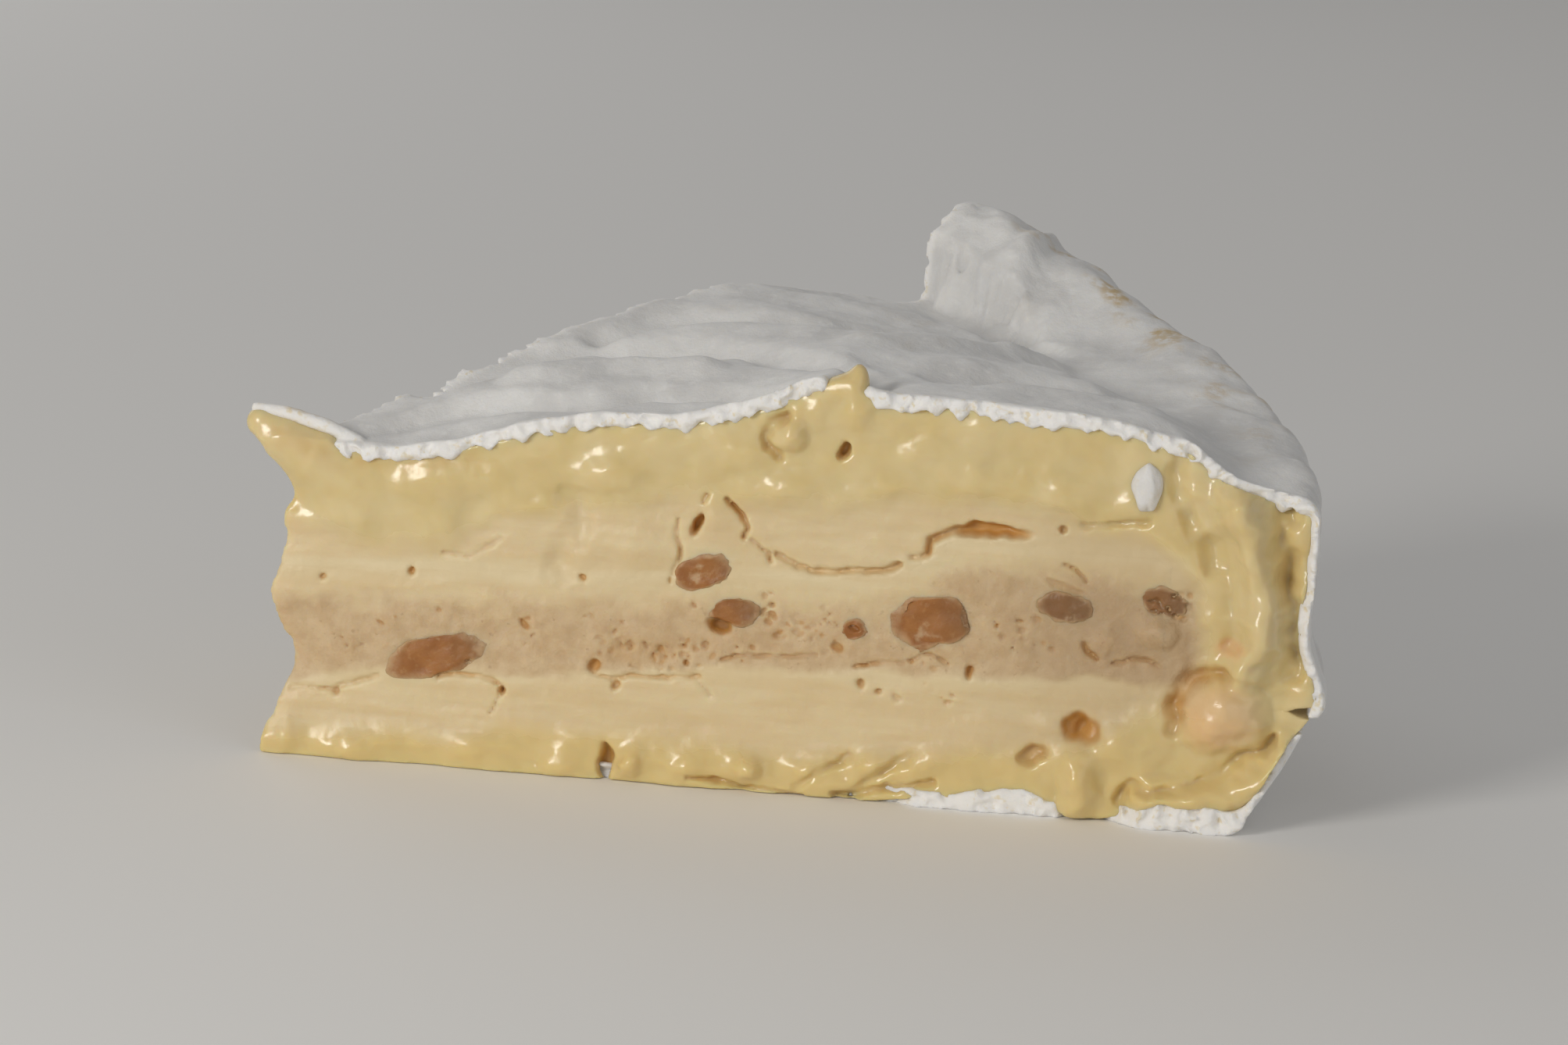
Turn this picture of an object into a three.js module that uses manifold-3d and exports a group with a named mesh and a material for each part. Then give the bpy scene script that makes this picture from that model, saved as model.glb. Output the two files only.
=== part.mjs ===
// A wedge cut from a stuffed soft cheese: the two halves of a white-rinded wheel, with a layer of nut filling spread
// between them. Millimetres, +Z up. The wheel's centre is the tip of the wedge, on the left. One cut face looks along
// -Y, the other turns away from it at the tip, and the rind of the wheel's side is the curved heel on the right.
// The origin lies under the middle of the wedge's bounding box.
import * as THREE from 'three';
import { mergeVertices } from 'three/addons/utils/BufferGeometryUtils.js';
import Module from 'manifold-3d';

// The wheel and the cut
const WHEEL_RADIUS = 109;
const WEDGE_ANGLE = THREE.MathUtils.degToRad(50);
const RIND = 1.4;
const GAP = 0.3; // between neighbouring pieces
const SHOULDER = 3; // rounding between the top and the heel
const RIND_START = 6; // the upper rind is torn away at the very tip

// Heights above the base
const TIP_HEIGHT = 34;
const FRONT_RISE = 10.2; // from the tip to the crown, along the front cut
const BACK_RISE = 14; // and along the back cut
const RIM_FALL = 4.5; // the rim's fall below the crown, at the front cut
const LIP_RISE = 8; // the rim's lift at the back cut, where the rind has pulled up into a lip
const SPLIT_HEIGHT = 13; // where the halves of the rind meet on the heel
const SPLIT_GAP = 1.2;

// The filling
const FILLING_REACH = 0.87; // its share of the wheel's radius
const SEAM_TIP_HEIGHT = 9.6; // the filling's underside, at the tip
const SEAM_SLOPE = 7; // its rise over the whole radius
const SEAM_DIP = 3.6; // its fall beyond the filling, down to the split
const FILLING_THICKNESS = 10.6;
const FILLING_STEP = 3; // it thickens towards the heel

// The heel of the lower half leans in towards the base
const BASE_RADIUS = 101;
const LOWER_LIP_RADIUS = 107;
const UPPER_LIP_FLARE = 1.6; // the upper half's lower edge turns outwards

// How finely each section and the sweep around the tip are divided
const TOP_STEPS = 13;
const SHOULDER_STEPS = 3;
const HEEL_STEPS = 4;
const SWEEP_STEPS = 15;

const { lerp, smoothstep } = THREE.MathUtils;
const step = (low, high, x) => smoothstep(x, low, high);
const wasm = await Module();
wasm.setup();

// ---- Surfaces of the wheel, at share s of the radius and share t of the wedge's angle ----

const dome = (s, crown) => Math.sin((Math.PI / 2) * Math.min(1, s / crown));

function topHeight(s, t) {
  const front = FRONT_RISE * dome(s, 0.56) - RIM_FALL * step(0.84, 1, s);
  const back = BACK_RISE * dome(s, 0.6) - RIM_FALL * step(0.6, 0.86, s) + LIP_RISE * step(0.86, 0.97, s);
  return TIP_HEIGHT + lerp(front, back, t ** 1.3);
}

// The filling's underside, which runs on to the split in the rind as the meeting of the two pastes.
function seamHeight(s) {
  return SEAM_TIP_HEIGHT + SEAM_SLOPE * s - SEAM_DIP * step(0.86, 1, s);
}

function fillingTop(s) {
  return SEAM_TIP_HEIGHT + SEAM_SLOPE * s + FILLING_THICKNESS + FILLING_STEP * step(0.56, 0.7, s);
}

function upperHeelRadius(z) {
  return WHEEL_RADIUS + UPPER_LIP_FLARE * (1 - step(SPLIT_HEIGHT, SPLIT_HEIGHT + 6, z));
}

function lowerHeelRadius(z) {
  return lerp(BASE_RADIUS, LOWER_LIP_RADIUS, (z / SPLIT_HEIGHT) ** 0.7);
}

// ---- Sections: lists of [radius, height], of one length at every t ----

// From start along the top, over the shoulder and down the heel to height foot, set in by a distance.
function upperLine(t, inset, start, foot) {
  const corner = Math.max(SHOULDER - inset, 0.8);
  const reach = WHEEL_RADIUS - inset - corner;
  const points = [];
  for (let i = 0; i <= TOP_STEPS; i++) {
    const r = lerp(start, reach, i / TOP_STEPS);
    points.push([r, topHeight(r / WHEEL_RADIUS, t) - inset]);
  }
  const [, crest] = points[TOP_STEPS];
  for (let i = 1; i <= SHOULDER_STEPS; i++) {
    const turn = (i / SHOULDER_STEPS) * (Math.PI / 2);
    points.push([reach + corner * Math.sin(turn), crest - corner * (1 - Math.cos(turn))]);
  }
  for (let i = 1; i <= HEEL_STEPS; i++) {
    const z = lerp(crest - corner, foot, i / HEEL_STEPS);
    points.push([upperHeelRadius(z) - inset, z]);
  }
  return points;
}

// From the tip along the base and up the heel to height head, set in by a distance.
function lowerLine(inset, head) {
  const points = [[0, inset]];
  for (let i = 0; i <= HEEL_STEPS; i++) {
    const z = lerp(inset, head, i / HEEL_STEPS);
    points.push([lowerHeelRadius(z) - inset, z]);
  }
  return points;
}

// Along a surface from the tip to a share of the radius.
function surfaceLine(height, reach) {
  const points = [];
  for (let i = 0; i <= TOP_STEPS; i++) {
    const s = (reach * i) / TOP_STEPS;
    points.push([s * WHEEL_RADIUS, height(s)]);
  }
  return points;
}

function upperRindSection(t) {
  const foot = SPLIT_HEIGHT + SPLIT_GAP / 2;
  const inner = upperLine(t, RIND, RIND_START, foot);
  return [...upperLine(t, 0, RIND_START, foot), ...inner.reverse()];
}

function lowerRindSection() {
  const head = SPLIT_HEIGHT - SPLIT_GAP / 2;
  return [...lowerLine(0, head), ...lowerLine(RIND, head).reverse()];
}

// The upper paste comes to the surface at the tip, and hooks down over the end of the filling to the lower paste.
function upperPasteSection(t) {
  const skin = RIND + GAP;
  const bare = RIND_START - GAP;
  const tip = [[0, TIP_HEIGHT], [bare, topHeight(bare / WHEEL_RADIUS, t)]];
  const outer = upperLine(t, skin, bare, SPLIT_HEIGHT + SPLIT_GAP / 2);
  const meeting = [0.95, 0.91].map((s) => [s * WHEEL_RADIUS, seamHeight(s) + GAP / 2]);
  const hook = [FILLING_REACH * WHEEL_RADIUS + GAP, seamHeight(FILLING_REACH) + GAP / 2];
  const roof = surfaceLine((s) => fillingTop(s) + GAP / 2, FILLING_REACH + GAP / WHEEL_RADIUS);
  return [...tip, ...outer, ...meeting, hook, ...roof.reverse()];
}

function fillingSection() {
  const top = surfaceLine((s) => fillingTop(s) - GAP / 2, FILLING_REACH);
  const bottom = surfaceLine((s) => seamHeight(s) + GAP / 2, FILLING_REACH);
  return [...top, ...bottom.reverse()];
}

function lowerPasteSection() {
  const skin = RIND + GAP;
  const top = surfaceLine((s) => seamHeight(s) - GAP / 2, FILLING_REACH);
  const meeting = [0.91, 0.95].map((s) => [s * WHEEL_RADIUS, seamHeight(s) - GAP / 2]);
  return [...lowerLine(skin, SPLIT_HEIGHT - SPLIT_GAP / 2), ...[...top, ...meeting].reverse()];
}

// ---- Solids ----

// Sweeps a section around the tip, from the front cut to the back cut, and closes both ends flat.
function sweep(sectionAt) {
  const rings = Array.from({ length: SWEEP_STEPS + 1 }, (_, i) => sectionAt(i / SWEEP_STEPS));
  const outlines = rings.map((ring) => ring.map(([r, z]) => new THREE.Vector2(r, z)));
  if (THREE.ShapeUtils.isClockWise(outlines[0])) outlines.forEach((outline) => outline.reverse());
  const count = rings[0].length;
  const positions = outlines.flatMap((outline, i) => {
    const angle = (i / SWEEP_STEPS) * WEDGE_ANGLE;
    return outline.flatMap(({ x, y }) => [x * Math.cos(angle), x * Math.sin(angle), y]);
  });
  const triangles = [];
  for (let i = 0; i < SWEEP_STEPS; i++) {
    for (let j = 0; j < count; j++) {
      const a = i * count + j;
      const b = i * count + ((j + 1) % count);
      triangles.push(a, b + count, b, a, a + count, b + count);
    }
  }
  const last = SWEEP_STEPS * count;
  for (const [a, b, c] of THREE.ShapeUtils.triangulateShape(outlines[0], [])) triangles.push(a, b, c);
  for (const [a, b, c] of THREE.ShapeUtils.triangulateShape(outlines[SWEEP_STEPS], [])) {
    triangles.push(last + a, last + c, last + b);
  }
  return closedSolid(positions, triangles);
}

function closedSolid(positions, indices) {
  const raw = new THREE.BufferGeometry();
  raw.setAttribute('position', new THREE.Float32BufferAttribute(positions, 3));
  raw.setIndex(indices);
  return solidOf(raw);
}

// A manifold solid from closed triangles, whichever way round they all face.
function solidOf(geometry) {
  const bare = geometry.clone();
  bare.deleteAttribute('normal');
  bare.deleteAttribute('uv');
  const merged = mergeVertices(bare, 1e-3);
  const corners = merged.index.array;
  const kept = [];
  for (let i = 0; i < corners.length; i += 3) {
    const [a, b, c] = corners.slice(i, i + 3);
    if (a !== b && b !== c && c !== a) kept.push([a, b, c]);
  }
  const build = (triangles) => new wasm.Manifold(new wasm.Mesh({
    numProp: 3,
    vertProperties: merged.attributes.position.array,
    triVerts: new Uint32Array(triangles.flat()),
  }));
  const solid = build(kept);
  return solid.volume() > 0 ? solid : build(kept.map(([a, b, c]) => [a, c, b]));
}

function geometryOf(solid) {
  const { vertProperties, triVerts } = solid.getMesh();
  const geometry = new THREE.BufferGeometry();
  geometry.setAttribute('position', new THREE.BufferAttribute(vertProperties, 3));
  geometry.setIndex(new THREE.BufferAttribute(triVerts, 1));
  geometry.computeVertexNormals();
  return geometry;
}

// ---- Nut pieces, sliced off flush with the cut face that they show in ----

// u: distance from the tip along the face, z: height, w and h: length and height of the slice, tilt: in degrees.
const FRONT_NUTS = [
  { u: 17, z: 13.4, w: 9, h: 4, tilt: 18 },
  { u: 45, z: 20.9, w: 5.9, h: 3.4, tilt: 8 },
  { u: 47, z: 16.9, w: 4.8, h: 3.2, tilt: -6 },
  { u: 59, z: 16.8, w: 3.4, h: 2.6, tilt: 12 },
  { u: 68, z: 19.4, w: 9.2, h: 7, tilt: 4 },
  { u: 82.6, z: 21.4, w: 4.8, h: 3.6, tilt: -4 },
  { u: 90.6, z: 22.6, w: 4.6, h: 3, tilt: -20 },
];
const BACK_NUTS = [
  { u: 21, z: 15.4, w: 6.4, h: 4.4, tilt: 14 },
  { u: 37, z: 18, w: 8.4, h: 5.2, tilt: -10 },
  { u: 51, z: 16.8, w: 5, h: 3.8, tilt: 24 },
  { u: 62, z: 19.8, w: 7.2, h: 4.6, tilt: 4 },
  { u: 75, z: 21, w: 5.4, h: 4.4, tilt: -16 },
  { u: 87, z: 22, w: 6.8, h: 4.2, tilt: 10 },
];
const NUT_DEPTH = 0.62; // how far a nut reaches in, as a share of its length

// A nut, or with swell the pocket that holds it, from a distance in front of the cut inwards.
function nutSolid({ u, z, w, h, tilt }, turn, swell, front) {
  const nut = new THREE.IcosahedronGeometry(1, 2);
  nut.scale(w / 2 + swell, w * NUT_DEPTH + swell, h / 2 + swell);
  nut.rotateY(-THREE.MathUtils.degToRad(tilt));
  nut.translate(u, 0, z);
  nut.rotateZ(turn);
  const slab = new THREE.BoxGeometry(2 * WHEEL_RADIUS, w * 2, 4 * w);
  const inwards = turn === 0 ? 1 : -1;
  slab.translate(u, inwards * (w - front), z);
  slab.rotateZ(turn);
  return solidOf(nut).intersect(solidOf(slab));
}

// ---- The tip's curl: paste pulled out and up into a small horn ----

const HORN_PATH = new THREE.CatmullRomCurve3([
  new THREE.Vector3(2.6, 1.3, 26),
  new THREE.Vector3(0.4, 0.7, 30),
  new THREE.Vector3(-1.6, 0.5, 34),
  new THREE.Vector3(-3.6, 0.6, 37.4),
]);
const HORN_RADIUS = 2.2;
const HORN_THINNING = 0.4;
const HORN_WIDTH = 0.8;
const HORN_STEPS = 7;
const HORN_SIDES = 10;

function hornSolid() {
  const positions = [];
  const triangles = [];
  for (let i = 0; i <= HORN_STEPS; i++) {
    const at = HORN_PATH.getPoint(i / HORN_STEPS);
    const across = HORN_PATH.getTangent(i / HORN_STEPS).cross(new THREE.Vector3(0, 1, 0)).normalize();
    const radius = HORN_RADIUS * (1 - HORN_THINNING * (i / HORN_STEPS));
    for (let j = 0; j < HORN_SIDES; j++) {
      const turn = (j / HORN_SIDES) * Math.PI * 2;
      const point = at.clone().addScaledVector(across, radius * Math.cos(turn));
      point.y += radius * HORN_WIDTH * Math.sin(turn);
      positions.push(...point.toArray());
    }
  }
  const last = HORN_STEPS * HORN_SIDES;
  for (let j = 0; j < HORN_SIDES; j++) {
    const k = (j + 1) % HORN_SIDES;
    for (let row = 0; row < last; row += HORN_SIDES) {
      const next = row + HORN_SIDES;
      triangles.push(row + j, row + k, next + k, row + j, next + k, next + j);
    }
    if (j > 0 && k > 0) triangles.push(0, k, j, last, last + j, last + k);
  }
  return closedSolid(positions, triangles);
}

// ---- A crumb of rind stuck to the front cut face ----

const CRUMB = { u: 92, z: 36, w: 3, h: 4.2, depth: 1.4 };

function crumbSolid(swell) {
  const crumb = new THREE.IcosahedronGeometry(1, 1);
  crumb.scale(CRUMB.w / 2 + swell, CRUMB.depth + swell, CRUMB.h / 2 + swell);
  crumb.translate(CRUMB.u, 0, CRUMB.z);
  return solidOf(crumb);
}

// ---- Assembly ----

const LOOKS = {
  rind: { color: 0xe9e6e0, roughness: 0.85 },
  paste: { color: 0xe3cf8f, roughness: 0.4 },
  filling: { color: 0xd9bd97, roughness: 0.7 },
  nut: { color: 0xa5683c, roughness: 0.6 },
};

const wedge = new THREE.Group();

function add(name, look, solid) {
  const material = new THREE.MeshStandardMaterial({ ...LOOKS[look], metalness: 0 });
  const mesh = new THREE.Mesh(geometryOf(solid), material);
  mesh.name = name;
  wedge.add(mesh);
}

const nuts = [
  ...FRONT_NUTS.map((nut, i) => ({ name: `nut_front_${i + 1}`, nut, turn: 0 })),
  ...BACK_NUTS.map((nut, i) => ({ name: `nut_back_${i + 1}`, nut, turn: WEDGE_ANGLE })),
];

let filling = sweep(fillingSection);
for (const { name, nut, turn } of nuts) {
  filling = filling.subtract(nutSolid(nut, turn, GAP, nut.w / 2));
  add(name, 'nut', nutSolid(nut, turn, 0, 0));
}

add('upper_rind', 'rind', sweep(upperRindSection));
add('upper_paste', 'paste', sweep(upperPasteSection).add(hornSolid()).subtract(crumbSolid(GAP)));
add('filling', 'filling', filling);
add('lower_paste', 'paste', sweep(lowerPasteSection));
add('lower_rind', 'rind', sweep(lowerRindSection));
add('rind_crumb', 'rind', crumbSolid(0));

const box = new THREE.Box3().setFromObject(wedge);
const middle = box.getCenter(new THREE.Vector3());
wedge.position.set(-middle.x, -middle.y, -box.min.z);

export default wedge;
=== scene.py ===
"""A wedge of stuffed soft cheese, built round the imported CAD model: white bloomy rind, two layers
of soft paste and a nut filling between them. Every piece but the nuts and the crumb is a distance
field, meshed with OpenVDB. A field is below 0 inside the piece.

Lengths are millimetres in the wedge's own axes until to_frame(): the tip's foot is the origin, x
runs along the front cut, y into the cheese and z up. On a cut face u is the distance from the tip
and z the height. The last number of a call to noise() or cloud() is its seed.
"""

import itertools
import math

import bmesh
import bpy
import numpy as np
import openvdb
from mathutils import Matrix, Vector


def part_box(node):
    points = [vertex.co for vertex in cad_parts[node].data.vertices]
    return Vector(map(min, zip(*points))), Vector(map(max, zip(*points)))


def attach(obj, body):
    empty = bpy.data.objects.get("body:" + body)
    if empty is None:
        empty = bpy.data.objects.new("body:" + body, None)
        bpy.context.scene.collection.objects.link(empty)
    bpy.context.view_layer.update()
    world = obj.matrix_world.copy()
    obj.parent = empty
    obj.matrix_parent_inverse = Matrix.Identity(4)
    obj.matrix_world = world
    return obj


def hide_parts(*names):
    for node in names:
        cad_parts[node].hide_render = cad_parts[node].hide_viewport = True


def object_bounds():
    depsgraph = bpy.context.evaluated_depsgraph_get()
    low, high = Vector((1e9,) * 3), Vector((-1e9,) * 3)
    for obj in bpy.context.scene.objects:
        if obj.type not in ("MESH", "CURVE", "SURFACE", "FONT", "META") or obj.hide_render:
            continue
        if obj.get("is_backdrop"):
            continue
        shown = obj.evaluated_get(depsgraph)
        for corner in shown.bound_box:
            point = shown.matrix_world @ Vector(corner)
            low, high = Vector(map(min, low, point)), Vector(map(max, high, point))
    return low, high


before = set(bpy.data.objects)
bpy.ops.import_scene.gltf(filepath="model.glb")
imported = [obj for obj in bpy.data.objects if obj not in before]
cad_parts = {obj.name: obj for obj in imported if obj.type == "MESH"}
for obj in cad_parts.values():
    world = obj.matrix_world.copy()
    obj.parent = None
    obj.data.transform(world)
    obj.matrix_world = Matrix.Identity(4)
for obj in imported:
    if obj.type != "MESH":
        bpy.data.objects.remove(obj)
cad_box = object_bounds()

# ---- Driving dimensions, in mm ----

RADIUS = 109.0
ANGLE = math.radians(50)
RIND = 1.3
HEEL_RIND = 0.75 * RIND  # the heel's skin is thinner
RIND_MOST = 2.5  # the rind is never thicker than this, as at the flap's foot
RIND_LAP = 0.15  # how far the paste runs into the rind
RIND_START = 6.0  # the rind is torn away at the very tip
SPLIT = 13.0  # height of the split on the heel, where the two halves of the rind end
FILLING_END = 95.0  # the filling's reach from the tip
OVERLAP = 0.5  # each layer runs this far past its seam, so that no gap shows
SHARP = 0.15  # rounding of a layer's edges along a cut face
EDGE_REACH = 3.0  # the rind is thicker and lumpier this close to a cut
LIP = 0.9  # how deep the paste that hangs over the lower rind is, measured from the cut
THINNED = 0.95  # hidden parts lose about this share of their faces
RIND_VOXEL = 0.34
CHEESE_VOXEL = 0.29

# The top along the front cut, the middle and the back cut: (distance from the tip, height)
TOP_FRONT = [(0, 33.6), (6, 34.4), (13, 34), (18.4, 35.3), (25.8, 38), (34, 39.7), (43, 40.2), (51, 42.2),
             (55, 44.2), (59.5, 45.6), (63, 43.8), (76, 43.4), (86.6, 43.1), (92, 42.4), (97, 41.3),
             (101.4, 39.2), (106, 37.6), (112, 36)]
TOP_MIDDLE = [(0, 33.6), (11, 36.4), (27, 40), (44, 42.6), (60, 44.8), (76, 43.6), (92, 41), (101, 39.8),
              (106, 39.2), (112, 38)]
TOP_BACK = [(0, 33.6), (12, 36.1), (20, 38.2), (28, 40.5), (36, 42.2), (44, 43), (52, 44.8), (60, 46.2),
            (68, 46), (76, 44.8), (84, 43), (92, 41.6), (100, 42.6), (106, 44.6), (112, 44.6)]
# The flap of rind that stands up at the back corner: its height, and how far from the tip it starts
FLAP_RISE = 10.5
FLAP_START = 93.5
HEEL_LIP = 2.6  # the rind's rise along the middle of the heel's rim
# Soft creases in the top: points (x, y), half width, depth. A depth below 0 makes a ridge.
TOP_CREASES = [
    ([(6, 2), (13.6, 5.4), (20.5, 6.8), (28, 5.8), (33.6, 6), (38.8, 8.4), (46, 6), (55, 2)], 2.4, 1.35),
    ([(14, 15), (20, 20.5), (26.7, 24.4), (36.3, 24.1), (46.8, 22.4), (56, 12), (62, 4)], 3.2, 1.65),
    ([(29.5, 29.9), (34.7, 34.3), (45.2, 33.6), (54.2, 32.8), (63.4, 37.4)], 3, 1.5),
    ([(64.4, 64.1), (73.3, 52), (85.8, 36.1), (96.6, 18.1), (102.6, 1.9)], 6.5, 1.65),
    ([(70, 14), (80, 20), (88, 22)], 4, 1.05), ([(76.8, 88.3), (73, 70.4), (70.8, 61.6)], 2, -1.05),
    ([(24, 14), (34, 15), (44, 14.6)], 3, -1.2), ([(60, 26), (70, 34), (76, 44)], 4, -1.2),
]
# The heel's outline: (height, radius)
HEEL = [(0, 103.6), (5, 106.8), (10, 109.4), (11.6, 109.8), (12.6, 111.8), (15, 112), (18, 110.8),
        (21, 109.8), (27, 110.2), (34, 110), (60, 109.6)]
# The filling's underside and top, and where the runny paste above and below it starts, along a cut:
# (distance from the tip, height)
SEAM = [(0, 7.6), (9, 9.6), (24, 10.8), (32, 11.2), (47, 12.9), (66, 14), (81, 14.6), (93, 15.4),
        (101, 14), (112, 13)]
FILLING_TOP = [(0, 20.4), (17, 21.2), (40, 22.4), (51, 23.2), (63, 24), (67, 24.8), (69.5, 26), (71, 28.4),
               (76, 29.2), (86, 28.6), (95, 28)]
SEAM_SEED = 91
FILLING_TOP_SEED = 92
CREAM_UPPER = [(0, 25), (17, 24), (25, 28), (35, 29.5), (42, 31), (55, 31.5), (66, 32),
               (80, 32.5), (92, 31), (100, 24)]
CREAM_LOWER = [(0, 3), (20, 3.5), (33, 5), (60, 4.5), (80, 6.5), (90, 9.5), (96, 14)]


# ---- Numbers ----

def along(points, x):
    """The height at x of a smooth line through a few points."""
    xs, ys = np.array(points, float).T
    fine = np.linspace(xs[0], xs[-1], 160)
    heights = np.interp(fine, xs, ys)
    width = max(3, round(160 * 3.0 / (xs[-1] - xs[0])) | 1)
    padded = np.pad(heights, width, mode="edge")
    smooth = np.convolve(padded, np.ones(width) / width, mode="same")[width:-width]
    return np.interp(x, fine, smooth)


def ramp(low, high, x):
    """0 below low, 1 above high and smooth between them."""
    f = np.clip((x - low) / (high - low), 0, 1)
    return f * f * (3 - 2 * f)


def blend(a, b, f):
    return a + (b - a) * f


def larger(a, b, k):
    """The larger of two fields, rounded off over k where they meet."""
    h = np.clip(0.5 + 0.5 * (a - b) / k, 0, 1)
    return blend(b, a, h) + k * h * (1 - h)


def smaller(a, b, k):
    return -larger(-a, -b, k)


DIRECTIONS = np.random.default_rng(7).normal(size=(512, 3))
DIRECTIONS /= np.linalg.norm(DIRECTIONS, axis=1)[:, None]


def noise(coords, size, seed=0):
    """Gradient noise in about -1 to 1 with features of a size, which may differ by axis."""
    sizes = np.broadcast_to(size, 3)
    arrays = np.broadcast_arrays(*coords)
    cells, rests = [], []
    for values, extent in zip(arrays, sizes):
        scaled = values / extent
        cell = np.floor(scaled)
        cells.append(cell.astype(np.int64))
        rests.append(scaled - cell)
    eased = [f * f * f * (f * (f * 6 - 15) + 10) for f in rests]
    total = 0
    for corner in itertools.product((0, 1), repeat=len(arrays)):
        key = np.full(arrays[0].shape, seed * 7919 + 17, np.int64)
        weight = 1
        for cell, c, ease, prime in zip(cells, corner, eased, (73856093, 19349663, 83492791)):
            key = key ^ ((cell + c) * prime)
            weight = weight * (ease if c else 1 - ease)
        key = (key ^ (key >> 11)) * 2654435 & 0x7FFFFFFF
        pick = DIRECTIONS[(key ^ (key >> 9)) & 511]
        slope = sum(pick[..., i] * (rest - c) for i, (rest, c) in enumerate(zip(rests, corner)))
        total = total + weight * slope
    return 1.6 * total


def cloud(coords, size, octaves, seed=0):
    """Noise with finer and fainter layers on top of it."""
    sizes = np.broadcast_to(size, 3)
    return sum(noise(coords, sizes / 2**i, seed + i) / 2**i for i in range(octaves))


# ---- What shows on the cut faces ----

# Bulges: u, z, half length, half height, turn in degrees, rise
FRONT_BULGES = [
    (15, 30.6, 6, 2.2, 6, 0.5), (8, 27, 3, 2.6, 0, 0.4), (36, 33.2, 3.6, 2.3, 0, 0.9),
    (33, 26, 2.6, 3, 0, 0.4), (38, 26.4, 3.4, 3.6, 0, 0.6), (46.6, 29.2, 2, 2.2, 0, 0.5),
    (50, 36, 3, 1.6, 20, 0.4), (21.7, 27.2, 2.8, 2.6, 0, -0.7), (61.4, 42.4, 1.8, 2.6, 0, 0.8),
    (57.4, 41, 1.6, 2, 0, 0.4), (54, 32.6, 3.4, 2, -5, 0.5), (66, 38, 4, 2.6, 0, 0.4),
    (75, 35.4, 4.6, 2, 0, 0.5), (83.6, 34.6, 3.6, 2.2, 8, 0.7), (90, 33.6, 3, 1.6, 14, 0.6),
    (97, 37.4, 2, 3.4, 0, 0.5), (100.6, 35.4, 2.6, 3.2, 0, 0.9), (96.6, 27.6, 2.6, 2.2, 0, 0.6),
    (94, 20.4, 2.7, 2.2, 0, 0.8), (88.8, 19.4, 1.6, 1.3, 0, 0.6), (99.6, 22.6, 2.2, 2, 0, 0.5),
    (31.4, 30.4, 1.8, 1.7, 0, -0.8), (86.6, 4.4, 2.3, 3.4, 0, 1.2), (90.6, 8.6, 2.6, 2.6, 0, 0.9),
    (83.4, 9.6, 2, 1.6, 0, 0.5), (76, 8.6, 4.4, 2, 8, 0.5), (39.2, 2.2, 1.7, 1.7, 0, 1),
    (44.6, 2.4, 2.2, 1.6, 0, 0.7), (52, 2.6, 2, 1.8, 0, 1.1), (58.6, 3.4, 2.4, 1.6, 24, 0.8),
    (65, 4, 2.4, 1.7, 28, 1), (71.4, 5.4, 3, 1.6, 20, 0.7), (31, 1.8, 3.2, 1.8, 0, 0.8),
    (22, 2.8, 4, 1.7, -6, 0.5), (9, 1.8, 2.2, 1.8, 0, 0.8), (2.4, 2.4, 1.6, 1.6, 0, 0.6),
    (110, 26, 1.2, 7, 0, 0.5),
]
# The same at the tip, on both cuts
TIP_BULGES = [(0, 29.5, 7, 3.6, 0, -1.5), (0, 23.5, 6, 2.5, 0, -0.4), (0, 18, 5, 2.6, 0, 0.3),
              (0, 10, 6, 4, 0, -1), (0, 1.5, 4, 2, 0, 0.3)]
# Pits: u, z, half length, half height, turn, depth, how amber. The amber share is the paste's tint in the
# pit, and where it is high it is also painted shade in the pit's depth.
FRONT_PITS = [
    (59.8, 37.3, 0.65, 1.1, 0, 1.8, 0.6), (86.2, 9.7, 1.4, 1.7, 0, 1.2, 0.9),
    (87.5, 9.5, 1.3, 1.5, 0, 0.7, 0.7), (81.8, 6.4, 1.7, 1.1, 24, 1.4, 0.45),
    (36.5, 1.9, 0.75, 2.2, 4, 1.8, 0.65), (44.9, 28.2, 0.55, 1.25, -14, 1.6, 0.8),
    (75.6, 30, 4.4, 0.8, 3, 1.7, 0.8), (5.3, 19.5, 0.5, 0.4, 0, 0.7, 0.45),
    (14.8, 20.8, 0.4, 0.5, 0, 0.8, 0.6), (27.3, 16.2, 0.35, 0.9, 28, 0.7, 0.6),
    (32.9, 21.9, 0.4, 0.35, 0, 0.7, 0.55), (6.9, 7.3, 0.45, 0.4, 0, 0.6, 0.45),
    (34.8, 12.1, 0.8, 0.8, 0, 1, 0.7), (37, 10.4, 0.5, 0.6, 0, 0.7, 0.5),
    # The first pit on the next line is the hollow at the lower left of a nut: its full amber share is
    # painted shade.
    (47.9, 17.5, 1.5, 0.8, -24, 1.4, 1), (77.3, 19.9, 0.4, 0.4, 0, 0.6, 0.6),
    (53.3, 19.1, 0.6, 0.4, 0, 0.6, 0.5), (83.5, 30.7, 0.4, 0.45, 0, 0.8, 0.45),
    (63.1, 12.8, 0.5, 0.7, 20, 0.8, 0.5), (65.3, 11.7, 0.6, 0.35, 0, 0.7, 0.45),
    (74.7, 15, 0.5, 0.75, 0, 1, 0.6), (60.4, 16.3, 0.7, 0.5, 0, 0.6, 0.6),
    (25, 8.8, 0.5, 0.6, 0, 0.8, 0.6), (101.8, 19.8, 1.3, 0.8, -20, 0.5, 0.1),
    (40, 13.9, 5, 1.5, 5, 0.25, 0.2), (84, 24.6, 2.6, 0.5, -24, 0.4, 0.3),
]
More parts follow.
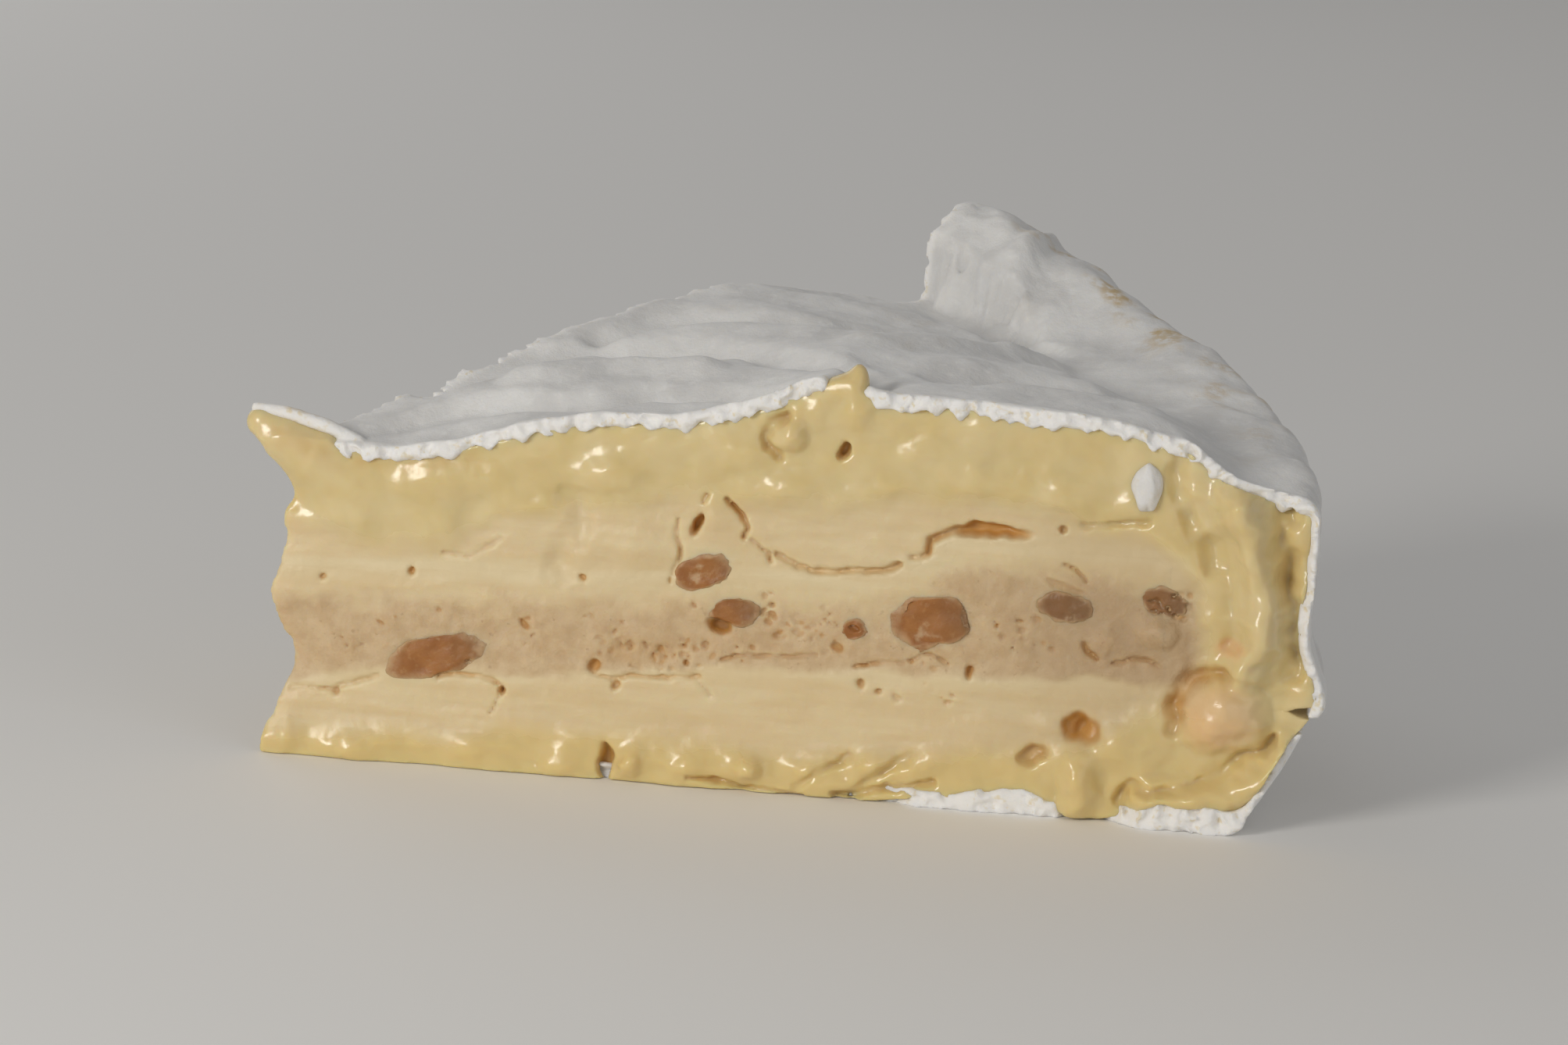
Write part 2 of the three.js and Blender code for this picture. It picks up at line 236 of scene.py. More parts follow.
# Cracks: points of the line, half width, depth, how amber. The amber share is partly the paste's tint and
# partly painted shade along the crack. A depth below 0 makes a roll of paste.
FRONT_CRACKS = [
    ([(-3, 35.6), (1, 34.2), (6, 32.6), (12, 32.8), (20, 33.8)], 1.5, 0.1, 0.32),
    ([(2, 7.2), (6.9, 7.6), (12, 9.2)], 0.22, 0.5, 0.25),
    ([(17.7, 9.9), (21.6, 10.2), (23.9, 10.2), (25.1, 9.4), (25, 8.4)], 0.24, 0.8, 0.5),
    ([(24.9, 8.2), (24.1, 6.3)], 0.2, 0.5, 0.3),
    ([(34.3, 11.5), (35.5, 11), (39.7, 11.5), (43.1, 11.6), (46.2, 12.2)], 0.24, 0.8, 0.5),
    ([(45.7, 12), (47.4, 10.2)], 0.2, 0.4, 0.25),
    ([(48.2, 13.8), (51.3, 14.4), (54.4, 14.7), (58.5, 15)], 0.24, 0.8, 0.45),
    ([(62.3, 14.8), (64.9, 14.9), (67.7, 15.4), (70.8, 16), (72.1, 15.5)], 0.26, 0.9, 0.5),
    ([(86.8, 18.7), (87.7, 17.2)], 0.32, 0.9, 0.55),
    ([(89, 16.7), (90.9, 17.5), (93.2, 17.4), (95.2, 16.7)], 0.28, 0.8, 0.45),
    ([(53, 25.9), (55.5, 25), (57, 24.2), (59.3, 24.4), (62.4, 24.5), (65.2, 25), (66.7, 25.5)],
     0.34, 1.2, 0.4),
    ([(67.8, 26.2), (69.4, 27), (69.7, 28.7), (71.8, 29.7)], 0.42, 1.5, 0.75),
    ([(43.1, 28.8), (43.3, 25.6), (43.1, 23.7), (42.7, 22.1)], 0.22, 0.7, 0.4),
    ([(48.2, 31.4), (49.6, 30), (50.6, 28.4), (50.3, 27.5)], 0.32, 1.2, 0.65),
    ([(51, 27.2), (52.3, 26), (52.7, 24.8)], 0.24, 0.8, 0.4),
    ([(45.7, 31.6), (45.3, 30.6)], 0.26, 0.7, 0.4),
    ([(83.6, 26.9), (84.8, 26.5), (86.2, 25.2)], 0.28, 0.8, 0.5),
    ([(18, 23), (21.1, 23.1), (22.6, 23.8), (24, 25.4)], 0.24, 0.4, 0.22),
    ([(30.5, 22.1), (31.4, 24.9), (32.8, 27.3), (32.9, 29.2)], 1.5, 0.6, 0.03),
    # A groove left of the blister: its amber is a painted crescent of shadow beside the swelling.
    ([(53.6, 40.7), (52.5, 39.9), (52, 38.6), (52.4, 37.3), (53.4, 36.5)], 0.6, 1.5, 0.4),
    ([(45.6, 1), (48.5, 0.9), (51.4, 0.5), (57.4, 0.2)], 0.3, 0.9, 0.45),
    ([(61.2, 0.4), (63.7, 0.8), (66.8, 1.6), (71, 2.6)], 0.45, 1.1, 0.45),
    ([(56.6, 1), (62.4, 4.8)], 0.5, 0.8, 0.12),
    ([(63, 0.8), (68.6, 5.2)], 0.6, 0.9, 0.14),
    ([(85.2, 31.3), (89.1, 31.6), (92.2, 32.3)], 0.5, 0.8, 0.18),
    ([(94.8, 41.2), (95, 37.9), (95.5, 34.7), (96.8, 32.2), (98.8, 30.4), (99.6, 28)], 1.0, 1.2, 0.08),
    ([(106.4, 34.5), (107.1, 27.4), (108, 22.5), (108.3, 17.6)], 1.1, 1.9, 0.2),
    ([(108.8, 34), (109.2, 26), (109, 17)], 1.5, 0.1, 0.2),
    ([(101.8, 35), (103.6, 29.4), (104.8, 24), (104.8, 20.5), (103.8, 18)], 2.3, -3.3, 0),
    ([(90.8, 2), (92.1, 4.4), (94.7, 3.9), (98.6, 4.6), (102, 6.2), (103.5, 8.2), (106.6, 10.2)],
     0.6, 1.3, 0.25),
    ([(94, 3), (98, 3), (102.6, 4), (105.8, 6), (108.6, 8.6)], 1.9, -2.2, 0),
    # A groove round the upper left of the peach bulge: its amber is painted shadow along the bulge's edge.
    ([(96.3, 10.6), (96.2, 13), (97, 15.2), (98.8, 16.6), (101.4, 17)], 0.95, 1.4, 0.55),
]
# Round swellings with a clear edge: u, z, half length, half height, turn, rise
FRONT_DOMES = [(54.7, 38.7, 1.9, 1.9, 0, 1.3), (101.4, 12.4, 5.2, 4.6, 0, 3.3),
               (86.8, 3.6, 2.8, 4.2, 0, 1.5), (39.2, 2, 1.5, 1.7, 0, 0.8),
               (52, 2.6, 1.7, 1.6, 0, 0.7), (94, 20.4, 2.6, 2, 0, 0.6)]
# Areas with many small pits: u, z, half length, half height, how many
FRONT_SPECKS = [(40, 13.8, 5, 1.6, 26), (56, 19, 4.5, 2.6, 26), (79, 20, 4, 2.6, 10),
                (95, 23.6, 2.8, 1.3, 14), (18, 15, 12, 3.4, 10), (52, 17, 26, 3.4, 22),
                (46, 14.6, 3, 1.4, 8), (62, 11.6, 12, 1.4, 5)]
BACK_SPECKS = [(22, 15, 9, 3, 20), (46, 17, 9, 3.4, 34), (72, 19, 10, 3.4, 30), (55, 12, 28, 1.6, 10)]


def back_marks():
    """Bulges, pits and cracks for the back cut, in the manner of the front."""
    rng = np.random.default_rng(21)
    high = (-2, 2), (31, 38), (3, 6), (2, 3.4), (-15, 15), (0.5, 1.2)
    low = (-2, 2), (1.5, 6), (2.5, 6), (1.8, 3), (-20, 20), (0.5, 1.3)
    hole = (-3, 3), (4, 36), (0.5, 1.6), (0.5, 1.4), (-30, 30), (0.9, 2.2), (0.4, 1)
    bulges, pits, cracks = [], [], []
    for u in np.arange(6, 106, 7):
        for marks, ranges in ((bulges, high), (bulges, low), (pits, hole)):
            spread, *others = (rng.uniform(*limits) for limits in ranges)
            marks.append((u + spread, *others))
    starts = (SEAM, 4, 9), (SEAM, 36, 10), (SEAM, 66, 8), (FILLING_TOP, 20, 8), (FILLING_TOP, 60, 11)
    for line, start, steps in starts:
        us = start + np.arange(steps) * 2.4
        zs = along(line, us) + rng.uniform(-0.5, 0.5, steps)
        width, depth, amber_and_shade = (rng.uniform(*limits) for limits in ((0.24, 0.4), (1.1, 1.8), (0.6, 0.9)))
        cracks.append((list(zip(us, zs)), width, depth, amber_and_shade))
    for u, z in ((33, 29), (57, 31), (88, 33)):
        cracks.append(([(u, z), (u + 0.6, z - 2.4), (u + 0.2, z - 5)], 0.28, 1.2, 0.6))
    return bulges + TIP_BULGES, pits, cracks


MARKS = {"front": (FRONT_BULGES + TIP_BULGES, FRONT_PITS, FRONT_CRACKS), "back": back_marks()}
SPECKS = {"front": FRONT_SPECKS, "back": BACK_SPECKS}
DOMES = {"front": FRONT_DOMES,
         "back": [(30, 36, 2, 2, 0, 1.1), (96, 12, 3.6, 3.2, 0, 2.4), (70, 3, 2.4, 2.6, 0, 1.2)]}
# Patches of paste tinted by the filling's oil: u, z, half length, half height, turn
PEACH = {"front": [(100.8, 12.4, 4.4, 3.9, 0), (101.8, 19.7, 1.7, 1.1, 0)],
         "back": [(97, 12, 3.4, 3, 0), (60, 4, 4, 2, 0)]}
SEEDS = {"front": 100, "back": 200}


def oval(u, z, mark):
    """Distance from a mark's middle, as a share of its half length and height."""
    u0, z0, long, high, turn = mark[:5]
    c, s = math.cos(math.radians(turn)), math.sin(math.radians(turn))
    du, dz = u - u0, z - z0
    return np.sqrt(((du * c + dz * s) / long) ** 2 + ((dz * c - du * s) / high) ** 2)


def from_line(u, z, points):
    """Distance from a line of straight stretches."""
    nearest = np.full(np.shape(u + z), 1e3)
    for (u0, z0), (u1, z1) in zip(points, points[1:]):
        du, dz = u1 - u0, z1 - z0
        f = np.clip(((u - u0) * du + (z - z0) * dz) / (du * du + dz * dz), 0, 1)
        nearest = np.minimum(nearest, np.hypot(u - u0 - f * du, z - z0 - f * dz))
    return nearest


def specks(side):
    """Many small pits in the filling and the core."""
    rng = np.random.default_rng(SEEDS[side])
    for u, z, long, high, count in SPECKS[side]:
        for _ in range(count):
            yield (u + long * rng.uniform(-1, 1), z + high * rng.uniform(-1, 1), rng.uniform(0.2, 0.55),
                   rng.uniform(0.18, 0.42), rng.uniform(-60, 60), rng.uniform(0.15, 0.5),
                   rng.uniform(0.1, 0.55))


def zones(side, u, z):
    """How creamy, and how much of the filling, each point of a cut face is."""
    seed = SEEDS[side]
    drift = 1.6 * cloud((u, z), 9, 3, seed + 1)
    upper = ramp(-1.6, 1.6, z + drift - along(CREAM_UPPER, u))
    lower = ramp(-1.6, 1.6, along(CREAM_LOWER, u) - z + 0.7 * drift)
    end = ramp(-2, 2.4, u - 98.5 + 1.3 * drift)
    creamy = np.maximum(np.maximum(upper, lower), end)
    soft = 0.8 * noise((u, z), (5, 3, 1), seed + 5) + 0.3 * noise((u, z), 1.2, seed + 6)
    above = ramp(-0.5, 0.7, z - along(SEAM, u) + soft)
    below = ramp(-1, 2.6, along(FILLING_TOP, u) - 2.6 - z + 2 * soft)
    return creamy, above * below * (1 - creamy)


def peach(side, u, z):
    """How much of the filling's oil has tinted the paste."""
    wu, wz = ragged(side, u, z)
    return np.max([ramp(1.3, 0.5, oval(wu, wz, patch)) for patch in PEACH[side]], axis=0)


def ragged(side, u, z):
    """The same place, shifted about so that marks get uneven edges."""
    seed = SEEDS[side]
    shift_u = 0.7 * noise((u, z), 4, seed + 11) + 0.22 * noise((u, z), 1.1, seed + 12)
    shift_z = 0.5 * noise((u, z), 4, seed + 13) + 0.22 * noise((u, z), 1.1, seed + 14)
    return u + shift_u, z + shift_z


def relief(side, u, z):
    """How far a cut face stands out at (u, z), and how amber it is there: the paste's amber tint in pits
    and cracks, with painted shade in their depths and beside some swellings.
    """
    seed = SEEDS[side]
    creamy, inside = zones(side, u, z)
    plain = (1 - creamy) * (1 - inside)
    lumpy = ramp(88, 100, u) + ramp(6, 2, z)
    out = creamy * (0.5 + (0.42 + 0.25 * lumpy) * cloud((u, z), (7, 5, 1), 3, seed + 20))
    streaks = 0.1 * noise((u, z), (7, 0.9, 1), seed + 35)
    out += plain * (0.26 * cloud((u, z), (11, 6, 1), 3, seed + 30) + streaks
                    + 0.05 * noise((u, z), 0.8, seed + 36))
    out += inside * (0.26 * cloud((u, z), 4.5, 3, seed + 40) + 0.1 * noise((u, z), 0.9, seed + 45) - 0.05)
    amber_and_shade = np.zeros(np.shape(out))
    bulges, pits, cracks = MARKS[side]
    wu, wz = ragged(side, u, z)
    for mark in bulges:
        out += mark[5] * np.exp(-1.4 * oval(wu, wz, mark) ** 2.4)
    for mark in DOMES[side]:
        out += mark[5] * np.clip(1 - oval(wu, wz, mark) ** 2, 0, 1) ** 1.2
    for mark in [*pits, *specks(side)]:
        share = oval(wu, wz, mark)
        out -= mark[5] * ramp(1.2, 0.5, share)
        amber_and_shade = np.maximum(amber_and_shade, mark[6] * ramp(1.35, 0.5, share))
    uneven = 0.75 + 0.6 * noise((u, z), 2.4, seed + 50)
    for points, width, depth, colour in cracks:
        gap = from_line(wu, wz, points) / width
        out -= depth * (uneven if depth > 0 else 1) * ramp(1.5, 0.1, gap)
        amber_and_shade = np.maximum(amber_and_shade, colour * uneven * ramp(1.6, 0.2, gap))
    return out, np.clip(amber_and_shade, 0, 1)


# ---- The wheel's surfaces ----

def polar(x, y):
    """Distance from the tip, and the angle from the front cut as a share of the wedge's angle."""
    return np.hypot(x, y), np.clip(np.arctan2(y, np.maximum(x, 0.1)) / ANGLE, 0, 1)


def flap(x, y):
    """How much of the standing flap is at (x, y): it is torn off short on the side of the tip."""
    r, t = polar(x, y)
    edge = FLAP_START + 1.9 * noise((x, y), 3.6, 61) + 0.5 * noise((x, y), 1.3, 62)
    lobe = ramp(0.6, 1.02, t + 0.03 * noise((x, y), 6, 63))
    rise = ramp(edge, edge + 1.8, r) * blend(0.74, 1, ramp(edge, edge + 9, r))
    return lobe * rise * (1 - 0.45 * ramp(99, 109, r))


def top_height(x, y):
    """Height of the rind's top over (x, y), without the flap."""
    r, t = polar(x, y)
    front, middle, back = (along(line, r) for line in (TOP_FRONT, TOP_MIDDLE, TOP_BACK))
    near = blend(front, middle, ramp(0, 1, 2 * t))
    base = np.where(t < 0.5, near, blend(middle, back, np.clip(2 * t - 1, 0, 1)))
    base = base + HEEL_LIP * ramp(98, 105, r) * ramp(0.36, 0.62, t) * ramp(0.9, 0.65, t)
    away = ramp(2, 16, r)
    bend = 5 * noise((x, y), 26, 74)
    folds = 0.9 * noise((x, y + bend), (42, 13, 1), 71)
    folds = folds + 0.5 * noise((x + 0.5 * y, y + bend), (24, 6, 1), 72)
    fine = 0.2 * cloud((x, y), 4.5, 3, 73)
    wx, wy = x + 2 * noise((x, y), 9, 75), y + 2 * noise((x, y), 9, 76)
    for points, width, depth in TOP_CREASES:
        folds = folds - depth * ramp(1.3, 0, from_line(wx, wy, points) / width)
    return base + away * (folds + fine)


def heel_radius(arc, z):
    """Radius of the heel at a distance round the arc and a height."""
    folds = 0.55 * noise((arc, z), (11, 16, 1), 81) + 0.22 * noise((arc, z), (2.6, 15, 1), 82)
    return along(HEEL, z) + folds + 0.14 * cloud((arc, z), 2.8, 2, 83)


def seam_waves(x, y, seed):
    """How far a seam rises above its line at (x, y)."""
    return 0.45 * noise((x, y), 9, seed)


# ---- Fields ----

def deep(values):
    """A map over (x, y), spread through a block's height."""
    return values[:, :, None].astype(np.float32)


def behind_cuts(x, y):
    """How far (x, y) lies behind the front cut, and behind the back one."""
    return y, x * math.sin(ANGLE) - y * math.cos(ANGLE)


class Block:
    """A block of voxels with the surfaces that the pieces share."""

    def __init__(self, low, high, voxel):
        self.low = np.array(low, float)
        self.voxel = voxel
        counts = [int((b - a) / voxel) + 1 for a, b in zip(low, high)]
        self.axes = [a + voxel * np.arange(n) for a, n in zip(low, counts)]
        grids = np.meshgrid(*self.axes, indexing="ij", sparse=True)
        self.x, self.y, self.z = (grid.astype(np.float32) for grid in grids)
        self.place = self.x[:, :, 0], self.y[:, :, 0]
        flat_x, flat_y = self.place
        self.r = np.hypot(flat_x, flat_y)
        self.arc = np.arctan2(flat_y, np.maximum(flat_x, 0.1)) * RADIUS
        self.top = top_height(flat_x, flat_y) + FLAP_RISE * flap(flat_x, flat_y)
        self.lean = np.sqrt(1 + sum(slope**2 for slope in np.gradient(self.top, voxel)))
        self.u_back = flat_x * math.cos(ANGLE) + flat_y * math.sin(ANGLE)

    def wrap(self, place, function):
        """A map over (place, z), looked up for each (x, y), where place is a map over (x, y)."""
        steps = np.arange(place.min() - self.voxel, place.max() + 2 * self.voxel, self.voxel)
        table = function(steps[:, None], self.axes[2][None, :]).astype(np.float32)
        return table[np.round((place - steps[0]) / self.voxel).astype(int)]

    def cut(self, front_out, back_out):
        """The space behind both cut faces, given how far each stands out."""
        out = front_out(self.axes[0][:, None], self.axes[2][None, :]).astype(np.float32)
        lean = (self.y * math.cos(ANGLE) - self.x * math.sin(ANGLE)).astype(np.float32)
        return larger(-(self.y + out[:, None, :]), lean - self.wrap(self.u_back, back_out), 0.8)

    def heel(self):
        """The space inside the heel's surface."""
        return deep(self.r) - self.wrap(self.arc, heel_radius)

    def cover(self):
        """The space under the top's surface, as a distance where the top slopes too."""
        return ((self.z - self.top[:, :, None]) / self.lean[:, :, None]).astype(np.float32)

    def sunk(self, depth):
        """The space under the top, lowered by a depth that counts sideways too."""
        lowest = self.top - depth
        for turn, share in itertools.product(np.arange(8) * math.pi / 4, (0.5, 1)):
            steps = [round(depth * share * f(turn) / self.voxel) for f in (math.cos, math.sin)]
            lowest = np.minimum(lowest, np.roll(self.top, steps, (0, 1)) - depth * math.sqrt(1 - share**2))
        return (self.z - lowest[:, :, None]).astype(np.float32)

    def layer(self, line, seed):
        """A seam's height over (x, y), with waves in it."""
        return deep(along(line, self.r) + seam_waves(*self.place, seed))

    def behind(self):
        """How far (x, y) lies behind the nearer cut."""
        return np.minimum(*behind_cuts(*self.place))

    def near_cut(self, reach):
        """1 at a cut face and 0 beyond a reach behind it, over (x, y)."""
        return ramp(reach, 0, self.behind())


def ball(block, at, radii):
    """A field round an ellipsoid."""
    parts = [((c - a) / r) ** 2 for c, a, r in zip((block.x, block.y, block.z), at, radii)]
    return (np.sqrt(sum(parts)) - 1) * min(radii)


def limb(block, points, radii):
    """A field round a bent limb that tapers from point to point."""
    field = np.float32(1e3)
    for (a, ra), (b, rb) in zip(zip(points, radii), zip(points[1:], radii[1:])):
        step = np.subtract(b, a)
        rel = [c - p for c, p in zip((block.x, block.y, block.z), a)]
        f = np.clip(sum(c * s for c, s in zip(rel, step)) / step.dot(step), 0, 1)
        gap = np.sqrt(sum((c - f * s) ** 2 for c, s in zip(rel, step)))
        field = np.minimum(field, gap - ra - (rb - ra) * f)
    return field


def biggest_shell(points, faces):
    """Which points belong to the largest connected part of a mesh."""
    label = np.arange(len(points))
    while True:
        low = label[faces].min(axis=1)
        fresh = label.copy()
        for corner in faces.T:
            np.minimum.at(fresh, corner, low)
        fresh = fresh[fresh]
        if np.array_equal(fresh, label):
            break
        label = fresh
    return label == np.bincount(label).argmax()


def skin(block, field):
    """The closed surface where a field is zero, as points and four-sided faces."""
    reach = 4 * block.voxel
    values = np.clip(field, -reach, reach).astype(np.float32)
    for axis in range(3):
        edge = [slice(None)] * 3
        for end in (0, -1):
            edge[axis] = end
            values[tuple(edge)] = reach
    grid = openvdb.FloatGrid(reach)
    grid.copyFromArray(values)
    points, faces = grid.convertToQuads(isovalue=0)
    points = points.astype(float) * block.voxel + block.low
    faces = faces.astype(int)
    keep = biggest_shell(points, faces)
    number = np.cumsum(keep) - 1
    return points[keep], number[faces[keep[faces].all(axis=1)]]


# ---- Pieces ----

TIP = np.array(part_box("lower_rind")[0]) * 1000


def to_frame(points):
    return (points + TIP) / 1000


def add_object(name, data):
    """A new object, linked into the scene."""
    added = bpy.data.objects.new(name, data)
    bpy.context.collection.objects.link(added)
    return added


def mesh_piece(name, points, faces):
    """A smooth mesh object in the frame."""
    mesh = bpy.data.meshes.new(name)
    mesh.vertices.add(len(points))
    mesh.vertices.foreach_set("co", to_frame(points).ravel())
    mesh.loops.add(faces.size)
    mesh.loops.foreach_set("vertex_index", faces.ravel())
    mesh.polygons.add(len(faces))
    mesh.polygons.foreach_set("loop_start", np.arange(0, faces.size, faces.shape[1]))
    mesh.polygons.foreach_set("use_smooth", np.ones(len(faces), bool))
    mesh.update(calc_edges=True)
    mesh.validate()
    return add_object(name, mesh)


def thin_out(piece, hidden):
    """Merges most of the small faces where hidden is true."""
    group = piece.vertex_groups.new(name="hidden")
    group.add(np.flatnonzero(hidden).tolist(), 1.0, "REPLACE")
    fewer = piece.modifiers.new("thin out", "DECIMATE")
    fewer.vertex_group = group.name
    fewer.ratio = 1 - THINNED * hidden.mean()
    thinned = piece.evaluated_get(bpy.context.evaluated_depsgraph_get())
    mesh = bpy.data.meshes.new_from_object(thinned)
    piece.modifiers.clear()
    piece.vertex_groups.clear()
    piece.data = mesh


def points_of(piece):
    """A piece's points in the wedge's own axes."""
    flat = np.empty(3 * len(piece.data.vertices))
    piece.data.vertices.foreach_get("co", flat)
    return flat.reshape(-1, 3) * 1000 - TIP


def dress(piece, masks, node, slot, material):
    """Gives a piece its masks, its material and its place in the frame."""
    for mask, values in masks.items():
        attribute = piece.data.attributes.new(mask, "FLOAT", "POINT")
        attribute.data.foreach_set("value", np.ascontiguousarray(values, np.float32))
    piece.data.materials.append(material)
    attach(piece, "root")
    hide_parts(node)


def outward(points, faces):
    """The faces, turned to look outwards."""
    first, *rest = (points[column] for column in faces.T)
    volume = sum((first * np.cross(b, c)).sum() for b, c in zip(rest, rest[1:]))
    return faces if volume > 0 else faces[:, ::-1]


def from_seam(points):
    """Distance from where two layers meet."""
    x, y, z = points.T
    r = np.hypot(x, y)
    low = along(SEAM, r) + seam_waves(x, y, SEAM_SEED)
    high = along(FILLING_TOP, r) + seam_waves(x, y, FILLING_TOP_SEED)
    end = np.hypot(np.maximum(np.maximum(low - z, z - high), 0), r - FILLING_END - 0.8)
    top = np.where(r < FILLING_END + 2, np.abs(z - high), 9)
    return np.minimum(np.abs(z - low), np.minimum(top, end))


def cheese_masks(points):
    """Creamy, filling and amber at each point, read off the nearer cut face. The amber mask is the paste's
    amber tint with painted shade in cracks and pits.
    """
    x, y, z = points.T
    behind_front, behind_back = behind_cuts(x, y)
    u_back = x * math.cos(ANGLE) + y * math.sin(ANGLE)
    near_front = ramp(2, -2, behind_front - behind_back)
    masks = {}
    for side, u, share in (("front", x, near_front), ("back", u_back, 1 - near_front)):
        values = (*zones(side, u, z), relief(side, u, z)[1], peach(side, u, z))
        for name, value in zip(("creamy", "filling", "amber_and_shade", "peach"), values):
            masks[name] = masks.get(name, 0) + share * value
    masks["amber_and_shade"] *= ramp(6, 3, np.minimum(behind_front, behind_back))
    masks["whole"] = ramp(0.1, 2.2, from_seam(points))
    return masks


def cheese_hidden(points):
    """Paste and filling show only near the cut faces and in the split on the heel."""
    x, y, z = points.T
    in_split = (np.hypot(x, y) > 99) & (np.abs(z - SPLIT) < 3)
    return (np.minimum(*behind_cuts(x, y)) > 3.5) & ~in_split


def rind_hidden(points):
    """The rind's inner side and the wedge's underside don't show, but for their edges."""
    x, y, z = points.T
    arc = np.arctan2(y, np.maximum(x, 0.1)) * RADIUS
    standing = flap(x, y)
    inner = (np.hypot(x, y) < heel_radius(arc, z) - 0.9) & (standing < 0.02)
    inner &= z < top_height(x, y) + FLAP_RISE * standing - 1.1
    return inner & (np.minimum(*behind_cuts(x, y)) > 2.5) & (np.abs(z - SPLIT) > 2)


def rind_masks(points):
    """Where the rind is cut, and where it is tan."""
    x, y, z = points.T
    r, t = polar(x, y)
    cut = ramp(0.9, -0.1, np.minimum(*behind_cuts(x, y)))
    patches = ramp(-0.1, 0.7, cloud((x, y, z), 5, 3, 301))
    shoulder = ramp(99, 105, r) * ramp(30, 36, z) * ramp(0.05, 0.3, t) * (0.35 + 0.65 * ramp(0.3, 0.8, t))
    foot = 0.55 * ramp(3.5, 0, np.abs(z - SPLIT)) * ramp(100, 106, r)
    tip = ramp(7, 2, x) * ramp(30, 34, z)
    spread = 0.18 * ramp(0.2, 0.9, cloud((x, y, z), 14, 2, 311))
    tan = np.clip(patches * (shoulder + foot + spread) + 0.75 * tip, 0, 1)
    return {"cut": cut, "tan": tan}


def rind_edge(side, u, z):
    """How far the rind's cut edge stands out: white crumbs with creases between them."""
    seed = SEEDS[side] + 60
    shift = 0.8 * noise((u, z), 1.6, seed + 3)
    crumbs = 1.5 * (0.36 - np.abs(noise((u + shift, z), (1.8, 1.6, 1), seed)))
    crumbs = crumbs + 0.2 * noise((u, z), 0.8, seed + 1)
    return 0.75 + 0.4 * noise((u, z), (6, 9, 1), seed + 2) + crumbs


def torn_edge(side, u, z):
    """The upper rind's edge: crumbly in front, and torn into small notches at the back."""
    if side == "front":
        return rind_edge(side, u, z)
    return rind_edge(side, u, z) + 1.3 * noise((u, z), (3.8, 20, 1), 171) - 0.4


def cut_behind(block, function):
    return block.cut(lambda u, z: function("front", u, z), lambda u, z: function("back", u, z))


def relief_only(side, u, z):
    return relief(side, u, z)[0]


# The little horn at the tip, and the rind along its top
HORN = [(9, 3.6, 28.6), (3.8, 2.0, 32), (0.6, 1.2, 34), (-2.0, 1.0, 35.6)]
HORN_RADII = [4, 3.4, 2.5, 1.65]
HORN_RIM = [(8.5, 0.9, 34.4), (5, 0.7, 35.7), (0.8, 0.6, 36.8), (-2.6, 0.8, 37.1)]
HORN_RIM_RADII = [0.6, 0.8, 0.75, 0.6]
# Where the paste has pushed up through a gap in the rind, at the crown of the front cut
GAP_AT = (60.2, -0.6, 46.2)
GAP_RADII = (2.5, 2.6, 3.2)
WELLS = [((61.2, 0.7, 44.6), (1.1, 1.5, 1.9)), ((60, 0.8, 43.9), (1.8, 1.6, 1.5)),
         ((58.4, 0.9, 43.3), (1.6, 1.5, 1.2))]


def upper_rind_field(block):
    heel = block.heel()
    near = block.near_cut(EDGE_REACH)
    lumps = (0.2 + 0.75 * near) * noise(block.place, (1.3, 1.8, 1), 151) + 0.3 * noise(block.place, 5, 152)
    thickness = deep(RIND + 0.35 * near + lumps)
    outer = larger(heel, block.cover(), 3)
    inner = larger(heel + 0.75 * thickness, np.minimum(block.cover() + thickness, block.sunk(RIND_MOST)), 2)
    field = np.maximum(outer, -inner)
    hem = SPLIT + 0.7 * noise((block.arc, 0), 5, 153) + 0.3 * noise((block.arc, 0), 1.6, 154)
    field = larger(field, deep(hem) - block.z, 0.4)
    start = RIND_START + 0.8 * noise(block.place, 3, 155) - block.r
    field = larger(field, deep(start), 0.5)
    field = larger(field, cut_behind(block, torn_edge), 0.35)
    field = larger(field, -ball(block, GAP_AT, GAP_RADII), 0.5)
    return smaller(field, limb(block, HORN_RIM, HORN_RIM_RADII), 0.5)


def lower_edge(side, u, z):
    """The lower rind's edge: it shows where the paste doesn't hang over it."""
    beyond = 1.7 * ramp(91, 94, u) * ramp(110, 104, u) if side == "front" else 0
    return rind_edge(side, u, z) - 0.15 + beyond - 1.6 * ramp(0.9, 0.1, hang_at(side, u))


def lower_rind_field(block):
    heel = block.heel()
    outer = larger(heel, -block.z, 1.4)
    edge = np.maximum(hang_over(block) + 0.35 - RIND, 0.5) + 0.25 * noise(block.place, 1.8, 163)
    thickness = RIND + deep(edge * block.near_cut(EDGE_REACH))
    inner = larger(heel + HEEL_RIND, thickness - block.z, 1)
    field = np.maximum(outer, -inner)
    hem = SPLIT - 2 + 0.4 * noise((block.arc, 0), 6, 161) + 0.3 * noise((block.arc, 0), 1.7, 162)
    field = larger(field, block.z - deep(hem), 0.4)
    return larger(field, cut_behind(block, lower_edge), 0.35)


def filling_room(block):
    """The space between the seams, without the cut faces."""
    low, high = block.layer(SEAM, SEAM_SEED), block.layer(FILLING_TOP, FILLING_TOP_SEED)
    field = larger(low - block.z, block.z - high, 0.4)
    end = FILLING_END + 1.6 * noise((block.arc, 0), 9, 93)
    return larger(field, deep(block.r - end), 1)


def filling_field(block):
    return larger(filling_room(block) - OVERLAP, cut_behind(block, relief_only), SHARP)


def gape(block):
    """How far each half draws back from the split at the heel."""
    return deep(1.1 * ramp(106.5, 110, block.r))


